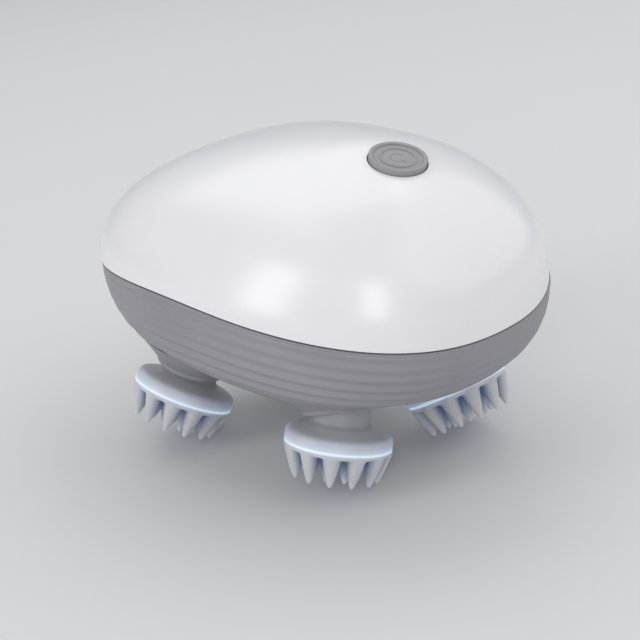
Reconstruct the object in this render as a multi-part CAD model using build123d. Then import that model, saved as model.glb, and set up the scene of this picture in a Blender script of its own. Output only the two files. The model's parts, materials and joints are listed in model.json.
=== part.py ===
from build123d import *
import os
from math import acos, atan2, cos, degrees, hypot, pi, radians, sin, tan

# Cordless electric scalp massager with four kneading silicone heads.
#
# The housing is an egg laid on its side: +X is the blunt nose, -X the narrow tail, +Z is up.
# Each head sits on a crank pin that leans out of its spindle's axis, so a turning spindle rocks
# the head round without spinning it.  One bevel drive gear turns the four spindles together, and
# a small geared motor turns the drive gear.
#
# Everything is built with z = 0 at the housing's widest level.  On export it is lifted so that the
# lowest tooth tip touches z = 0 and the housing's middle is at x = 0.

# ------------------------------------------------------------------ housing (mm, degrees)
tail_length = 73.7          # widest level, from its centre to the tail
nose_length = 63.4          # widest level, from its centre to the nose
half_width = 49.5
dome_height = 33.9
hull_depth = 33.2
tail_squareness = 2.7       # exponents of the outline curves, 2 is an ellipse
nose_squareness = 2.24
dome_fullness = 1.85
hull_fullness = 3.06
dome_lean = 11.8            # the dome's top lies this far towards the nose
hull_lean = 2.7
wall = 2.2
outline_points = 36
dome_levels = (0, 9, 18, 27, 36, 45, 54, 63, 71, 78, 84, 87.5)
hull_levels = (9, 18, 27, 36, 45, 54, 63, 71, 78, 84, 87.5)

seam_span = 85.0            # the seam between the shells is an arch over this half length
seam_tail_drop = 8.4
seam_nose_drop = 14.8
gasket_height = 0.5
gasket_recess = 0.35        # how far the gasket stays inside the shells' faces
gasket_width = 1.5

running_gap = 0.05          # shaft in its bush or bore
side_gap = 0.3              # between pieces that must not touch
touch_gap = 0.06            # soft cover on its core
through = 60.0              # reach of a cut that goes right through

# ------------------------------------------------------------------ heads and spindles
drive_x = -10.2             # axis of the drive gear
spindle_circle = 37.0       # radius on which the four rocking centres lie
rocking_z = -36.1           # height of the rocking centres
head_angles = {"rear_right": -135.2, "front_right": -32.7, "front_left": 32.7, "rear_left": 135.2}
rest_phases = {"rear_right": 67.0, "front_right": -119.5, "front_left": -70.5, "rear_left": 75.0}
spindle_tilt = 20.0         # spindles splay outwards by this much
crank_angle = 16.0          # crank pin to spindle axis

ball_radius = 8.1           # top of the silicone neck, centred on the rocking centre
ball_top = 4.2
rim_radius = 14.8
rim_depth = 8.6
base_depth = 10.2           # underside of the head, where the teeth start
base_edge = 0.6             # the underside's edge is drawn in by this from the rim
neck_waist = 12.8           # degrees below the ball's equator, where the flare starts
flare_radius = 7.75         # where the neck's line meets the shoulder's
flare_depth = 3.15
flare_rounding = 1.5
shoulder_depth = 5.7        # where the shoulder's line meets the rim's
shoulder_rounding = 2.6
skin = 1.2
tooth_depth = 18.5          # tooth tips below the rocking centre
outer_teeth = 12
inner_teeth = 8
tooth_shape = ((0.0, 2.75), (0.4, 2.15), (0.78, 1.3), (0.95, 0.7), (1.0, 0.2))
                            # (share of a tooth's length, radius)
tooth_sink = 0.6            # a tooth's root is this deep in the head
outer_root_circle = 12.1
outer_tip_circle = 11.5
inner_root_circle = 6.7
inner_tip_circle = 6.5

core_radius = 6.2           # rigid sleeve inside the neck
core_bore = 5.2
core_disc_radius = 12.0
core_disc_top = 6.3
core_disc_bottom = 7.8
core_shoulder = 4.4
chamber_radius = 4.2
chamber_depth = 6.7
pin_radius = 2.0
pin_length = 6.3
pin_bush_radius = 3.6
pin_bush_flange_radius = 4.6
pin_bush_flange = 0.8
pin_bush_top = 0.5
pin_bush_bottom = 4.9
clip_thickness = 0.6
clip_radius = 3.1
clip_groove_radius = 1.6
clip_mouth = 1.6
clip_play = 0.25            # between the bush and its clip
led_board_thickness = 0.8
led_board_bore = 4.0
led_count = 6
led_size = 1.6
led_height = 0.3
led_circle = 9.2

spindle_radius = 3.0
spindle_foot = 1.0          # lower end of the straight shaft
shoulder_radius = 4.2
shoulder_bottom = 5.75
shoulder_play = 0.1         # between the shoulder and the bush
spindle_stub = 0.6          # the shaft stands this far out of its gear
bush_bottom = 6.8
bush_length = 8.0
bush_wall = 1.5

mouth_z = 0.8               # lower edge of the collar, along the spindle axis
mouth_wall = 1.25
ball_clearance = 0.35
collar_slope = 45.0
collar_reach = 9.2
collar_boss_radius = 10.4
collar_ceiling = 2.0
bush_boss_wall = 2.2
collar_boss_rise = 2.0      # the boss starts this far above the collar's edge
bush_proud = 0.3            # the bush stands this far out of its boss
seal_bottom = 1.3
seal_height = 0.8
seal_clearance = 0.1
seal_depth = 1.1

# ------------------------------------------------------------------ gears and motor
drive_teeth = 40
spindle_teeth = 24
gear_foot = 19.0            # large end of the spindle gear, along the spindle axis
gear_face = 5.0
spur_teeth = 36
pinion_teeth = 18
spur_module = 0.8
spur_bottom = -8.6
spur_face = 3.5
pressure_angle = 20.0
addendum = 0.8              # in modules
dedendum = 1.15
backlash = 0.24             # taken off each tooth's thickness
gear_hub_radius = 5.5
gear_hub_play = 0.2         # between the hub and the bush
drive_hub_radius = 8.0
drive_hub_drop = 1.0
axle_radius = 2.5
axle_boss_radius = 5.0
axle_seat = 6.0

chassis_bottom = -4.3
chassis_thickness = 2.0
chassis_inset = 1.2
post_radius = 3.2
post_places = ((34.0, 0.0), (-56.0, 0.0), (-10.2, 30.0), (-10.2, -30.0))
chassis_screw_radius = 1.25
chassis_screw_length = 9.0
pan_head_radius = 2.4
pan_head_height = 1.4
slot_width = 0.5
slot_depth = 0.4

gearhead_radius = 12.5
gearhead_height = 8.0
motor_radius = 12.0
motor_height = 10.0
motor_cap_height = 1.2
motor_cap_radius = 9.5
motor_edge = 1.2
motor_terminal_height = 1.8
motor_terminal_width = 2.0
motor_terminal_thickness = 0.5
motor_terminal_spacing = 12.0
output_shaft_radius = 2.0
output_shaft_seat = 5.0     # length of the shaft's bearing in the gearhead
output_shaft_stub = 0.4     # the shaft stands this far out of the pinion
output_shaft_room = 1.0     # round the shaft, in the chassis
bracket_height = 4.0
bracket_wall = 1.6
bracket_ear_thickness = 2.0
bracket_ear_width = 7.0
bracket_ear_length = 8.0
bracket_screw_reach = 3.5   # screw axis from the clamp ring's face

shell_screw_places = ((40.0, 17.0), (40.0, -17.0), (-58.0, 20.0), (-58.0, -20.0))
screw_boss_radius = 3.6
screw_radius = 1.5
screw_head_radius = 2.8
screw_head_height = 1.8
screw_head_z = -18.0
screw_top_z = 5.0
screw_hole_bottom_gap = 1.0
cross_length = 3.4
cross_width = 0.7
cross_depth = 0.8
counterbore_clearance = 0.25

# ------------------------------------------------------------------ battery, board, button
battery_radius = 9.15
battery_length = 65.0
battery_x = -34.0
cradle_wall = 1.5
cradle_height = 8.5
battery_clearance = 0.15
battery_cap_radius = 3.0
battery_cap_height = 0.6
battery_edge = 0.8

button_x = 30.0
button_radius = 7.7
button_gap = 0.35
button_rise = 0.9
button_rim = 1.1
button_rim_height = 0.35
button_skirt = 1.2
button_cap_inside = -0.2    # underside of the cap's top
button_ring_share = 0.56    # raised inner ring, as a share of the button's radius
button_ring_width = 0.7
button_ring_height = 0.2
button_depth = 1.7          # skirt's lower edge below the dome's surface
button_travel = 0.8
stem_radius = 1.6
stem_length = 6.5
pocket_depth = 3.0
pocket_floor = 1.2
pocket_wall = 1.3
membrane_thickness = 0.6
membrane_radius = 6.0
membrane_gap = 0.15         # round the stem
switch_gap = 0.9            # free travel before the stem meets the switch
switch_plunger = 0.6
switch_plunger_radius = 1.75
switch_size = 6.0
switch_height = 3.2
board_length = 30.0
board_width = 21.0
board_thickness = 1.6
board_hole_inset = 2.6
board_post_radius = 2.2
board_screw_radius = 0.9
board_screw_head_radius = 1.6
board_screw_head_height = 1.0
board_screw_reach = 4.0
board_post_hole = 5.0
board_chips = ((-6.5, 3.0, 5.0, 5.0, 1.2), (-5.5, -4.0, 4.0, 3.0, 1.0), (5.0, 4.5, 4.0, 4.0, 2.0),
               (6.0, -4.5, 6.0, 4.5, 2.6))          # x, y, length, width, height

pad_x = -60.0
pad_length = 14.0
pad_width = 7.0
pad_recess = 0.4
pad_depth = 3.4
pad_flange = 1.4
contact_radius = 1.1
contact_spacing = 4.2
contact_proud = 0.1         # the pins stand this far out of the pad
contact_tail = 1.2          # the pins stand this far into the housing
magnet_radius = 1.5
magnet_spacing = 9.8
magnet_height = 1.3

# ------------------------------------------------------------------ sizes that follow
neck_bore = ball_radius + ball_clearance
mouth_radius = neck_bore + mouth_wall
bush_radius = spindle_radius + running_gap + bush_wall
bush_top = bush_bottom + bush_length
apex_rise = spindle_circle / tan(radians(spindle_tilt))       # where all gear cones meet
apex_distance = spindle_circle / sin(radians(spindle_tilt))
apex_z = rocking_z + apex_rise
spindle_cone = atan2(sin(radians(spindle_tilt)), drive_teeth / spindle_teeth + cos(radians(spindle_tilt)))
drive_cone = radians(spindle_tilt) - spindle_cone
gear_reach = apex_distance - gear_foot                         # apex to the spindle gear's large end
spindle_pitch = gear_reach * tan(spindle_cone)
bevel_module = 2 * spindle_pitch / spindle_teeth
drive_pitch = bevel_module * drive_teeth / 2
drive_reach = drive_pitch / tan(drive_cone)
gear_taper = (gear_reach - gear_face) / gear_reach
drive_gear_bottom = apex_z - drive_reach
drive_gear_top = apex_z - drive_reach * gear_taper
spur_pitch = spur_module * spur_teeth / 2
pinion_pitch = spur_module * pinion_teeth / 2
motor_x = drive_x + spur_pitch + pinion_pitch
chassis_top = chassis_bottom + chassis_thickness
battery_z = chassis_top + cradle_wall + battery_radius + battery_clearance
hull_floor = -hull_depth - 5.0                                 # below every part of the hull
clip_top = -pin_bush_bottom - clip_play
drive_hub_bottom = drive_gear_bottom - drive_hub_drop
axle_boss_top = drive_hub_bottom - side_gap
motor_low = chassis_top + gearhead_height
bracket_radius = gearhead_radius + bracket_wall
bracket_screw_places = ((motor_x, bracket_radius + bracket_screw_reach),
                        (motor_x, -bracket_radius - bracket_screw_reach))
board_top = -stem_length - switch_gap - switch_plunger - switch_height    # below the dome's surface
board_bottom = board_top - board_thickness
board_corners = [(x * (board_length / 2 - board_hole_inset), y * (board_width / 2 - board_hole_inset))
                 for x in (-1, 1) for y in (-1, 1)]


# ------------------------------------------------------------------ small helpers
def rod(radius, low, high, at=(0.0, 0.0)):
    """Upright cylinder between two heights."""
    return Pos(at[0], at[1], (low + high) / 2) * Cylinder(radius, high - low)


def ring(outer, inner, low, high, at=(0.0, 0.0)):
    """Upright tube between two heights."""
    return rod(outer, low, high, at) - rod(inner, low - 1, high + 1, at)


def turned(*profile):
    """Solid of revolution about Z from (radius, height) corners."""
    face = make_face(Polyline(*profile, close=True))
    return revolve(Plane.XZ * face, Axis.Z)


def slab(low, high, size=400.0):
    return Pos(0, 0, (low + high) / 2) * Box(size, size, high - low)


def mirrored_power(value, exponent):
    """Signed power that keeps the outline curves symmetrical."""
    return abs(value) ** exponent * (1 if value >= 0 else -1)


# ------------------------------------------------------------------ housing shape
def level_wire(angle, above, inset):
    """Closed outline of the housing at one level, drawn in by the inset."""
    fullness = dome_fullness if above else hull_fullness
    height = (dome_height if above else hull_depth) - inset
    lean = dome_lean if above else hull_lean
    share = cos(radians(angle)) ** (2 / fullness)
    z = mirrored_power(sin(radians(angle)) * (1 if above else -1), 2 / fullness) * height
    points = []
    for i in range(outline_points):
        turn = 2 * pi * (i + 0.5) / outline_points
        tail = cos(turn) < 0
        power = 2 / (tail_squareness if tail else nose_squareness)
        length = (tail_length if tail else nose_length) - inset
        x = length * mirrored_power(cos(turn), power) * share + lean * (1 - share)
        y = (half_width - inset) * mirrored_power(sin(turn), power) * share
        points.append((x, y, z))
    return Wire([Spline(*points, periodic=True)])


def body_solid(inset=0.0):
    """The egg, drawn in by the inset on every side."""
    wires = [level_wire(angle, False, inset) for angle in reversed(hull_levels)]
    wires += [level_wire(angle, True, inset) for angle in dome_levels]
    return Solid.make_loft(wires)


def above_seam(shift, top=120.0):
    """Everything above the arched seam, with the seam moved up by the shift."""
    left = (-seam_span, shift - seam_tail_drop)
    right = (seam_span, shift - seam_nose_drop)
    arch = ThreePointArc(left, (0, shift), right)
    sides = Polyline(right, (seam_span, top), (-seam_span, top), left)
    return extrude(Plane.XZ * make_face(arch + sides), 120.0, both=True)


def seam_height(x):
    """Height of the seam's arch at a station, close enough for boss ends."""
    across = x / seam_span
    slope = (seam_tail_drop - seam_nose_drop) / 2
    return slope * across - (seam_tail_drop + seam_nose_drop) / 2 * across ** 2


def dome_frame(x):
    """Location on the dome's centre line at x, with its Z along the outward normal."""
    side = 1 if x > dome_lean else -1
    run = nose_length - dome_lean if x > dome_lean else tail_length + dome_lean
    share = side * (x - dome_lean) / run
    rest = 1 - share ** dome_fullness
    z = dome_height * rest ** (1 / dome_fullness)
    climb = dome_height * rest ** (1 / dome_fullness - 1) * share ** (dome_fullness - 1)
    return Pos(x, 0, z) * Rot(0, side * degrees(atan2(climb, run)), 0)


# ------------------------------------------------------------------ frames of the moving parts
def spindle_frame(name):
    """At the rocking centre, Z up along the spindle, X outwards."""
    angle = head_angles[name]
    x = drive_x + spindle_circle * cos(radians(angle))
    y = spindle_circle * sin(radians(angle))
    return Pos(x, y, rocking_z) * Rot(0, 0, angle) * Rot(0, -spindle_tilt, 0)


def crank_frame(name):
    """The spindle frame turned to the crank's place at rest."""
    return spindle_frame(name) * Rot(0, 0, rest_phases[name])


def head_frame(name):
    """At the rocking centre, Z up along the crank pin."""
    return crank_frame(name) * Rot(0, -crank_angle, 0)


# ------------------------------------------------------------------ gears
def involute(angle):
    return tan(angle) - angle


def tooth_wire(teeth, module, z, scale=1.0):
    """Closed outline of a toothed wheel, tooth 0 on +X, scaled about the axis."""
    pitch = module * teeth / 2
    base = pitch * cos(radians(pressure_angle))
    root = pitch - dedendum * module
    tip = pitch + addendum * module
    half = pi / (2 * teeth) - backlash / (2 * pitch) + involute(radians(pressure_angle))
    flank = [(root, half - involute(acos(min(1.0, base / max(root, base)))))]
    for radius in (max(base, root) * 1.001, (max(base, root) + pitch) / 2, pitch, (pitch + tip) / 2, tip):
        flank.append((radius, half - involute(acos(base / radius))))
    points = []
    for i in range(teeth):
        middle = 2 * pi * i / teeth
        points += [(r * scale * cos(middle - a), r * scale * sin(middle - a), z) for r, a in flank]
        points += [(r * scale * cos(middle + a), r * scale * sin(middle + a), z) for r, a in reversed(flank)]
    return Wire.make_polygon([Vector(*p) for p in points])


def toothed_wheel(teeth, module, low, high, taper=1.0):
    """Spur wheel, or a bevel wheel when its far end is tapered."""
    return Solid.make_loft([tooth_wire(teeth, module, low), tooth_wire(teeth, module, high, taper)], True)


def mesh_turn(azimuth, driver_teeth, driven_teeth):
    """Turn of a driven wheel whose X points away from the driver, so that the teeth mesh."""
    return 180.0 - (0.5 - azimuth * driver_teeth / 360.0) * 360.0 / driven_teeth


# ------------------------------------------------------------------ shells
def collar(name):
    """Cone round a head's neck, with the boss of the spindle bush behind it."""
    top = mouth_z + collar_reach
    wide = mouth_radius + collar_reach / tan(radians(collar_slope))
    cone = turned((0, mouth_z), (mouth_radius, mouth_z), (wide, top), (0, top)) - hull_room_at(name)
    boss_top = bush_bottom + collar_ceiling
    boss = rod(collar_boss_radius, mouth_z + collar_boss_rise, boss_top)
    seat = rod(bush_radius + bush_boss_wall, boss_top, bush_top - bush_proud)
    return spindle_frame(name) * (boss + seat) + spindle_frame(name) * cone


def hull_room_at(name):
    """The housing's hollow, seen from a spindle's frame."""
    return spindle_frame(name).inverse() * inner_body


def collar_hollow(name):
    """What is cut from the hull for a neck, its seal and its bush."""
    neck = rod(neck_bore, -tooth_depth, bush_bottom)
    groove = rod(ball_radius + seal_clearance + seal_depth, seal_bottom, seal_bottom + seal_height)
    bush = rod(bush_radius, bush_bottom, bush_top)
    return spindle_frame(name) * (neck + groove + bush)


def screw_boss_hollow(place):
    """Counterbore and clearance hole of one shell screw in the lower shell."""
    head = rod(screw_head_radius + counterbore_clearance, hull_floor, screw_head_z + screw_head_height, place)
    shank = rod(screw_radius + counterbore_clearance, screw_head_z, through, place)
    return head + shank


def bottom_shell():
    below = outer_body - above_seam(-gasket_height / 2)
    shell = below - inner_body
    for name in head_angles:
        shell += collar(name)
    for place in shell_screw_places:
        shell += rod(screw_boss_radius, hull_floor, 0.0, place) & below
    for place in post_places:
        shell += rod(post_radius, hull_floor, chassis_bottom, place) & outer_body
    shell += rod(axle_boss_radius, hull_floor, axle_boss_top, (drive_x, 0)) & outer_body
    for name in head_angles:
        shell -= collar_hollow(name)
    for place in shell_screw_places:
        shell -= screw_boss_hollow(place)
    for place in post_places:
        shell -= rod(chassis_screw_radius, chassis_top - chassis_screw_length, 0.0, place)
    return shell - rod(axle_radius, axle_boss_top - axle_seat, 0.0, (drive_x, 0))


def top_shell():
    above = outer_body & above_seam(gasket_height / 2)
    shell = above - inner_body
    button = dome_frame(button_x)
    pocket = rod(button_radius + button_gap + pocket_wall, -pocket_depth - pocket_floor, wall)
    shell += (button * pocket) & outer_body
    hollow = button * rod(button_radius + button_gap, -pocket_depth, through)
    shell -= hollow
    shell -= button * rod(stem_radius + button_gap, -stem_length, 0.0)
    for place in shell_screw_places:
        foot = seam_height(place[0]) + gasket_height
        shell += rod(screw_boss_radius, foot, through, place) & above
        shell -= rod(screw_radius, hull_floor, screw_top_z + screw_hole_bottom_gap, place)
    for corner in board_corners:
        post = button * rod(board_post_radius, board_top, wall, corner)
        shell += (post & outer_body) - hollow
        shell -= button * rod(board_screw_radius, board_top, board_top + board_post_hole, corner)
    pad = dome_frame(pad_x)
    boss = pad_block(pad_length + 2 * wall, pad_width + 2 * wall, -pad_depth - pad_flange, wall)
    shell += (pad * boss) & outer_body
    shell -= pad * pad_block(pad_length, pad_width, -pad_depth, pad_depth)
    for side in (-1, 1):
        shell -= pad * rod(contact_radius, -pad_depth - pad_flange, 0.0, (0, side * contact_spacing / 2))
        shell -= pad * rod(magnet_radius, -pad_depth - magnet_height, 0.0, (0, side * magnet_spacing / 2))
    return shell


def shell_gasket():
    """Dark strip in the seam, a little inside the shells' faces."""
    strip = body_solid(gasket_recess) - body_solid(gasket_recess + gasket_width)
    return (strip & above_seam(-gasket_height / 2)) - above_seam(gasket_height / 2)


# ------------------------------------------------------------------ one head and its spindle
def spindle():
    shaft = rod(spindle_radius, spindle_foot, gear_foot + gear_face + spindle_stub)
    shoulder = rod(shoulder_radius, shoulder_bottom, bush_bottom - shoulder_play)
    pin = rod(pin_radius, -pin_length, spindle_foot)
    pin -= ring(clip_radius, clip_groove_radius, clip_top - clip_thickness, clip_top)
    return shaft + shoulder + Rot(0, -crank_angle, 0) * pin


def pin_clip():
    washer = ring(clip_radius, clip_groove_radius, clip_top - clip_thickness, clip_top)
    mouth = Pos(clip_radius, 0, clip_top) * Box(2 * clip_radius, clip_mouth, 4 * clip_thickness)
    return washer - mouth


def spindle_gear():
    wheel = Pos(0, 0, gear_foot) * toothed_wheel(spindle_teeth, bevel_module, 0, gear_face, gear_taper)
    hub = rod(gear_hub_radius, bush_top + gear_hub_play, gear_foot)
    return wheel + hub - rod(spindle_radius, 0, through)


def spindle_bush():
    return ring(bush_radius, spindle_radius + running_gap, bush_bottom, bush_top)


def neck_seal():
    inner = ball_radius + seal_clearance
    return ring(inner + seal_depth, inner, seal_bottom, seal_bottom + seal_height)


def head_core():
    """Rigid core of a head: sleeve in the neck and disc that carries the light board."""
    return turned(
        (core_bore, ball_top), (core_radius, ball_top), (core_radius, -core_shoulder),
        (core_disc_radius, -core_disc_top), (core_disc_radius, -core_disc_bottom), (0, -core_disc_bottom),
        (0, -chamber_depth), (chamber_radius, -chamber_depth), (chamber_radius, -pin_bush_bottom),
        (pin_bush_radius, -pin_bush_bottom), (pin_bush_radius, -pin_bush_top - pin_bush_flange),
        (pin_bush_flange_radius, -pin_bush_top - pin_bush_flange), (pin_bush_flange_radius, -pin_bush_top),
        (core_bore, -pin_bush_top),
    )


def pin_bush():
    bore = pin_radius + running_gap
    return turned(
        (bore, -pin_bush_top), (pin_bush_flange_radius, -pin_bush_top),
        (pin_bush_flange_radius, -pin_bush_top - pin_bush_flange),
        (pin_bush_radius, -pin_bush_top - pin_bush_flange), (pin_bush_radius, -pin_bush_bottom),
        (bore, -pin_bush_bottom),
    )


def led_board():
    """Ring-shaped board under the core's disc, with its light chips."""
    low = -core_disc_bottom - led_board_thickness
    board = ring(core_disc_radius - side_gap, led_board_bore, low, -core_disc_bottom)
    for i in range(led_count):
        chip = Pos(led_circle, 0, low - led_height / 2) * Box(led_size, led_size, led_height)
        board += Rot(0, 0, 360.0 * i / led_count) * chip
    return board


def tooth(root_circle, tip_circle):
    """One massage tooth: a round taper that leans from its root to its tip."""
    lean = degrees(atan2(root_circle - tip_circle, tooth_depth - base_depth))
    length = hypot(root_circle - tip_circle, tooth_depth - base_depth)
    sides = [(radius, -share * length) for share, radius in tooth_shape]
    taper = turned((0, tooth_sink), (sides[0][0], tooth_sink), *sides, (0, -length))
    return Pos(root_circle, 0, -base_depth) * Rot(0, lean, 0) * taper


def massage_head():
    """Silicone head: ball-topped neck, flared disc and three rings of teeth."""
    waist = radians(neck_waist)
    inner = core_radius + touch_gap
    disc = core_disc_radius + touch_gap
    arc_top = ((ball_radius ** 2 - ball_top ** 2) ** 0.5, ball_top)
    arc_end = (ball_radius * cos(waist), -ball_radius * sin(waist))
    flare_corner = (flare_radius, -flare_depth)
    shoulder_corner = (rim_radius, -shoulder_depth)
    walls = Polyline(
        arc_end, flare_corner, shoulder_corner, (rim_radius, -rim_depth), (rim_radius - base_edge, -base_depth),
        (0, -base_depth), (0, -base_depth + skin), (disc, -base_depth + skin), (disc, -core_disc_top + touch_gap),
        (inner, -core_shoulder + touch_gap), (inner, ball_top), arc_top,
    )
    profile = make_face(walls + ThreePointArc(arc_top, (ball_radius, 0), arc_end))
    for corner, rounding in ((flare_corner, flare_rounding), (shoulder_corner, shoulder_rounding)):
        vertex = profile.vertices().sort_by_distance((*corner, 0))[0]
        profile = fillet(vertex, rounding)
    head = revolve(Plane.XZ * profile, Axis.Z)
    for i in range(outer_teeth):
        head += Rot(0, 0, 360.0 * (i + 0.5) / outer_teeth) * tooth(outer_root_circle, outer_tip_circle)
    for i in range(inner_teeth):
        head += Rot(0, 0, 360.0 * i / inner_teeth) * tooth(inner_root_circle, inner_tip_circle)
    return head + tooth(0.0, 0.0)


# ------------------------------------------------------------------ drive
def drive_gear():
    bevel = Pos(0, 0, drive_gear_bottom) * toothed_wheel(
        drive_teeth, bevel_module, 0, drive_gear_top - drive_gear_bottom, gear_taper)
    hub = rod(drive_hub_radius, drive_hub_bottom, spur_bottom)
    spur = toothed_wheel(spur_teeth, spur_module, spur_bottom, spur_bottom + spur_face)
    wheel = bevel + hub + spur
    return Pos(drive_x, 0, 0) * (wheel - rod(axle_radius + running_gap, -through, through))


def drive_axle():
    return rod(axle_radius, axle_boss_top - axle_seat, chassis_top, (drive_x, 0))


def motor_pinion():
    turn = mesh_turn(0.0, spur_teeth, pinion_teeth)
    wheel = Rot(0, 0, turn) * toothed_wheel(pinion_teeth, spur_module, spur_bottom, spur_bottom + spur_face)
    return Pos(motor_x, 0, 0) * (wheel - rod(output_shaft_radius, -through, through))


def output_shaft():
    top = chassis_top + output_shaft_seat - side_gap
    return rod(output_shaft_radius, spur_bottom - output_shaft_stub, top, (motor_x, 0))


def gearhead_case():
    case = rod(gearhead_radius, chassis_top, motor_low, (motor_x, 0))
    bore = output_shaft_radius + running_gap
    return case - rod(bore, chassis_top, chassis_top + output_shaft_seat, (motor_x, 0))


def motor_can():
    can = rod(motor_radius, motor_low, motor_low + motor_height, (motor_x, 0))
    top_edge = can.edges().filter_by(GeomType.CIRCLE).sort_by(Axis.Z)[-1]
    return fillet(top_edge, motor_edge)


def motor_cap():
    """End cap of the motor, with its two solder blades."""
    low = motor_low + motor_height
    top = low + motor_cap_height
    cap = rod(motor_cap_radius, low, top, (motor_x, 0))
    blade = Box(motor_terminal_width, motor_terminal_thickness, motor_terminal_height)
    for side in (-1, 1):
        cap += Pos(motor_x, side * motor_terminal_spacing / 2, top + motor_terminal_height / 2) * blade
    return cap


def motor_bracket():
    """Clamp ring that holds the gearhead on the chassis, with two screw ears."""
    bracket = rod(bracket_radius, chassis_top, chassis_top + bracket_height, (motor_x, 0))
    ear = Box(bracket_ear_width, bracket_ear_length, bracket_ear_thickness)
    for x, y in bracket_screw_places:
        bracket += Pos(x, y, chassis_top + bracket_ear_thickness / 2) * ear
    bracket -= rod(gearhead_radius, chassis_top, chassis_top + bracket_height, (motor_x, 0))
    for place in bracket_screw_places:
        bracket -= rod(chassis_screw_radius, -through, through, place)
    return bracket


def pan_screw(place, seat, foot):
    """Slotted pan-head screw with its head on the seat and its tip at the foot."""
    head = rod(pan_head_radius, seat, seat + pan_head_height, place)
    slot = Box(3 * pan_head_radius, slot_width, 2 * slot_depth)
    slot = Pos(place[0], place[1], seat + pan_head_height) * slot
    return head + rod(chassis_screw_radius, foot, seat, place) - slot


def chassis_screw(place):
    return pan_screw(place, chassis_top, chassis_top - chassis_screw_length + side_gap)


def bracket_screw(place):
    return pan_screw(place, chassis_top + bracket_ear_thickness, chassis_bottom)


def chassis():
    """Plate across the housing that carries the motor and the battery."""
    plate = body_solid(wall + chassis_inset) & slab(chassis_bottom, chassis_top)
    for place in shell_screw_places:
        plate -= rod(screw_boss_radius + side_gap, -through, through, place)
    for place in post_places + bracket_screw_places:
        plate -= rod(chassis_screw_radius, -through, through, place)
    plate -= rod(output_shaft_radius + output_shaft_room, -through, through, (motor_x, 0))
    return plate - rod(axle_radius, -through, through, (drive_x, 0))


# ------------------------------------------------------------------ battery
def battery_cell():
    cell = Rot(90, 0, 0) * Cylinder(battery_radius, battery_length)
    cell = fillet(cell.edges().filter_by(GeomType.CIRCLE), battery_edge)
    cap = Pos(0, battery_length / 2 + battery_cap_height / 2, 0) * Rot(90, 0, 0)
    cell += cap * Cylinder(battery_cap_radius, battery_cap_height)
    return Pos(battery_x, 0, battery_z) * cell


def battery_cradle():
    """Trough, open at the top, that the cell lies in."""
    reach = battery_radius + battery_clearance
    inner_length = battery_length + 2 * battery_cap_height + 2 * battery_clearance
    block = Box(2 * (reach + cradle_wall), inner_length + 2 * cradle_wall, cradle_height)
    block = Pos(0, 0, chassis_top + cradle_height / 2) * block
    trough = Pos(0, 0, battery_z) * Rot(90, 0, 0) * Cylinder(reach, inner_length)
    return Pos(battery_x, 0, 0) * (block - trough)


# ------------------------------------------------------------------ button and board
def power_button():
    """Round cap with a raised rim and a raised inner ring, on a stem."""
    floor = button_rise - button_rim_height
    cap = rod(button_radius, -button_depth, button_rise)
    cap -= rod(button_radius - button_skirt, -button_depth, button_cap_inside)
    cap -= rod(button_radius - button_rim, floor, button_rise)
    inside = button_radius * button_ring_share
    cap += ring(inside + button_ring_width, inside, floor, floor + button_ring_height)
    return dome_frame(button_x) * (cap + rod(stem_radius, -stem_length, floor))


def button_membrane():
    """Silicone diaphragm under the pocket that keeps water away from the stem."""
    top = -pocket_depth - pocket_floor
    disc = ring(membrane_radius, stem_radius + membrane_gap, top - membrane_thickness, top)
    return dome_frame(button_x) * disc


def tact_switch():
    case_top = board_top + switch_height
    case = Pos(0, 0, (board_top + case_top) / 2) * Box(switch_size, switch_size, switch_height)
    plunger = rod(switch_plunger_radius, case_top, case_top + switch_plunger)
    return dome_frame(button_x) * (case + plunger)


def main_board():
    board = Pos(0, 0, (board_top + board_bottom) / 2) * Box(board_length, board_width, board_thickness)
    for corner in board_corners:
        board -= rod(board_screw_radius, -through, through, corner)
    return dome_frame(button_x) * board


def board_parts():
    """Controller chip, charging chip, coil and battery plug under the board."""
    parts = Part()
    for x, y, length, width, height in board_chips:
        parts += Pos(x, y, board_bottom - height / 2) * Box(length, width, height)
    return dome_frame(button_x) * parts


def board_screws():
    screws = Part()
    for corner in board_corners:
        screws += rod(board_screw_head_radius, board_bottom - board_screw_head_height, board_bottom, corner)
        screws += rod(board_screw_radius, board_bottom, board_top + board_screw_reach, corner)
    return dome_frame(button_x) * screws


# ------------------------------------------------------------------ charging point
def pad_block(length, width, low, high):
    """Round-ended block that lies across the tail."""
    outline = Rot(0, 0, 90) * SlotOverall(length, width)
    return Pos(0, 0, low) * extrude(outline, high - low)


def charge_pad():
    pad = pad_block(pad_length, pad_width, -pad_depth, -pad_recess)
    for side in (-1, 1):
        pad -= rod(contact_radius, -pad_depth, 0.0, (0, side * contact_spacing / 2))
    return dome_frame(pad_x) * pad


def charge_contacts():
    pins = Part()
    for side in (-1, 1):
        low = -pad_depth - pad_flange - contact_tail
        pins += rod(contact_radius, low, -pad_recess + contact_proud, (0, side * contact_spacing / 2))
    return dome_frame(pad_x) * pins


def charge_magnets():
    magnets = Part()
    for side in (-1, 1):
        magnets += rod(magnet_radius, -pad_depth - magnet_height, -pad_depth, (0, side * magnet_spacing / 2))
    return dome_frame(pad_x) * magnets


def shell_screw(place):
    """Screw with a cross recess that pulls the two shells together."""
    head = rod(screw_head_radius, screw_head_z, screw_head_z + screw_head_height, place)
    recess = Box(cross_length, cross_width, 2 * cross_depth) + Box(cross_width, cross_length, 2 * cross_depth)
    recess = Pos(place[0], place[1], screw_head_z) * recess
    return head + rod(screw_radius, screw_head_z + screw_head_height, screw_top_z, place) - recess


# ------------------------------------------------------------------ assembly
outer_body = body_solid()
inner_body = body_solid(wall)

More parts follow.
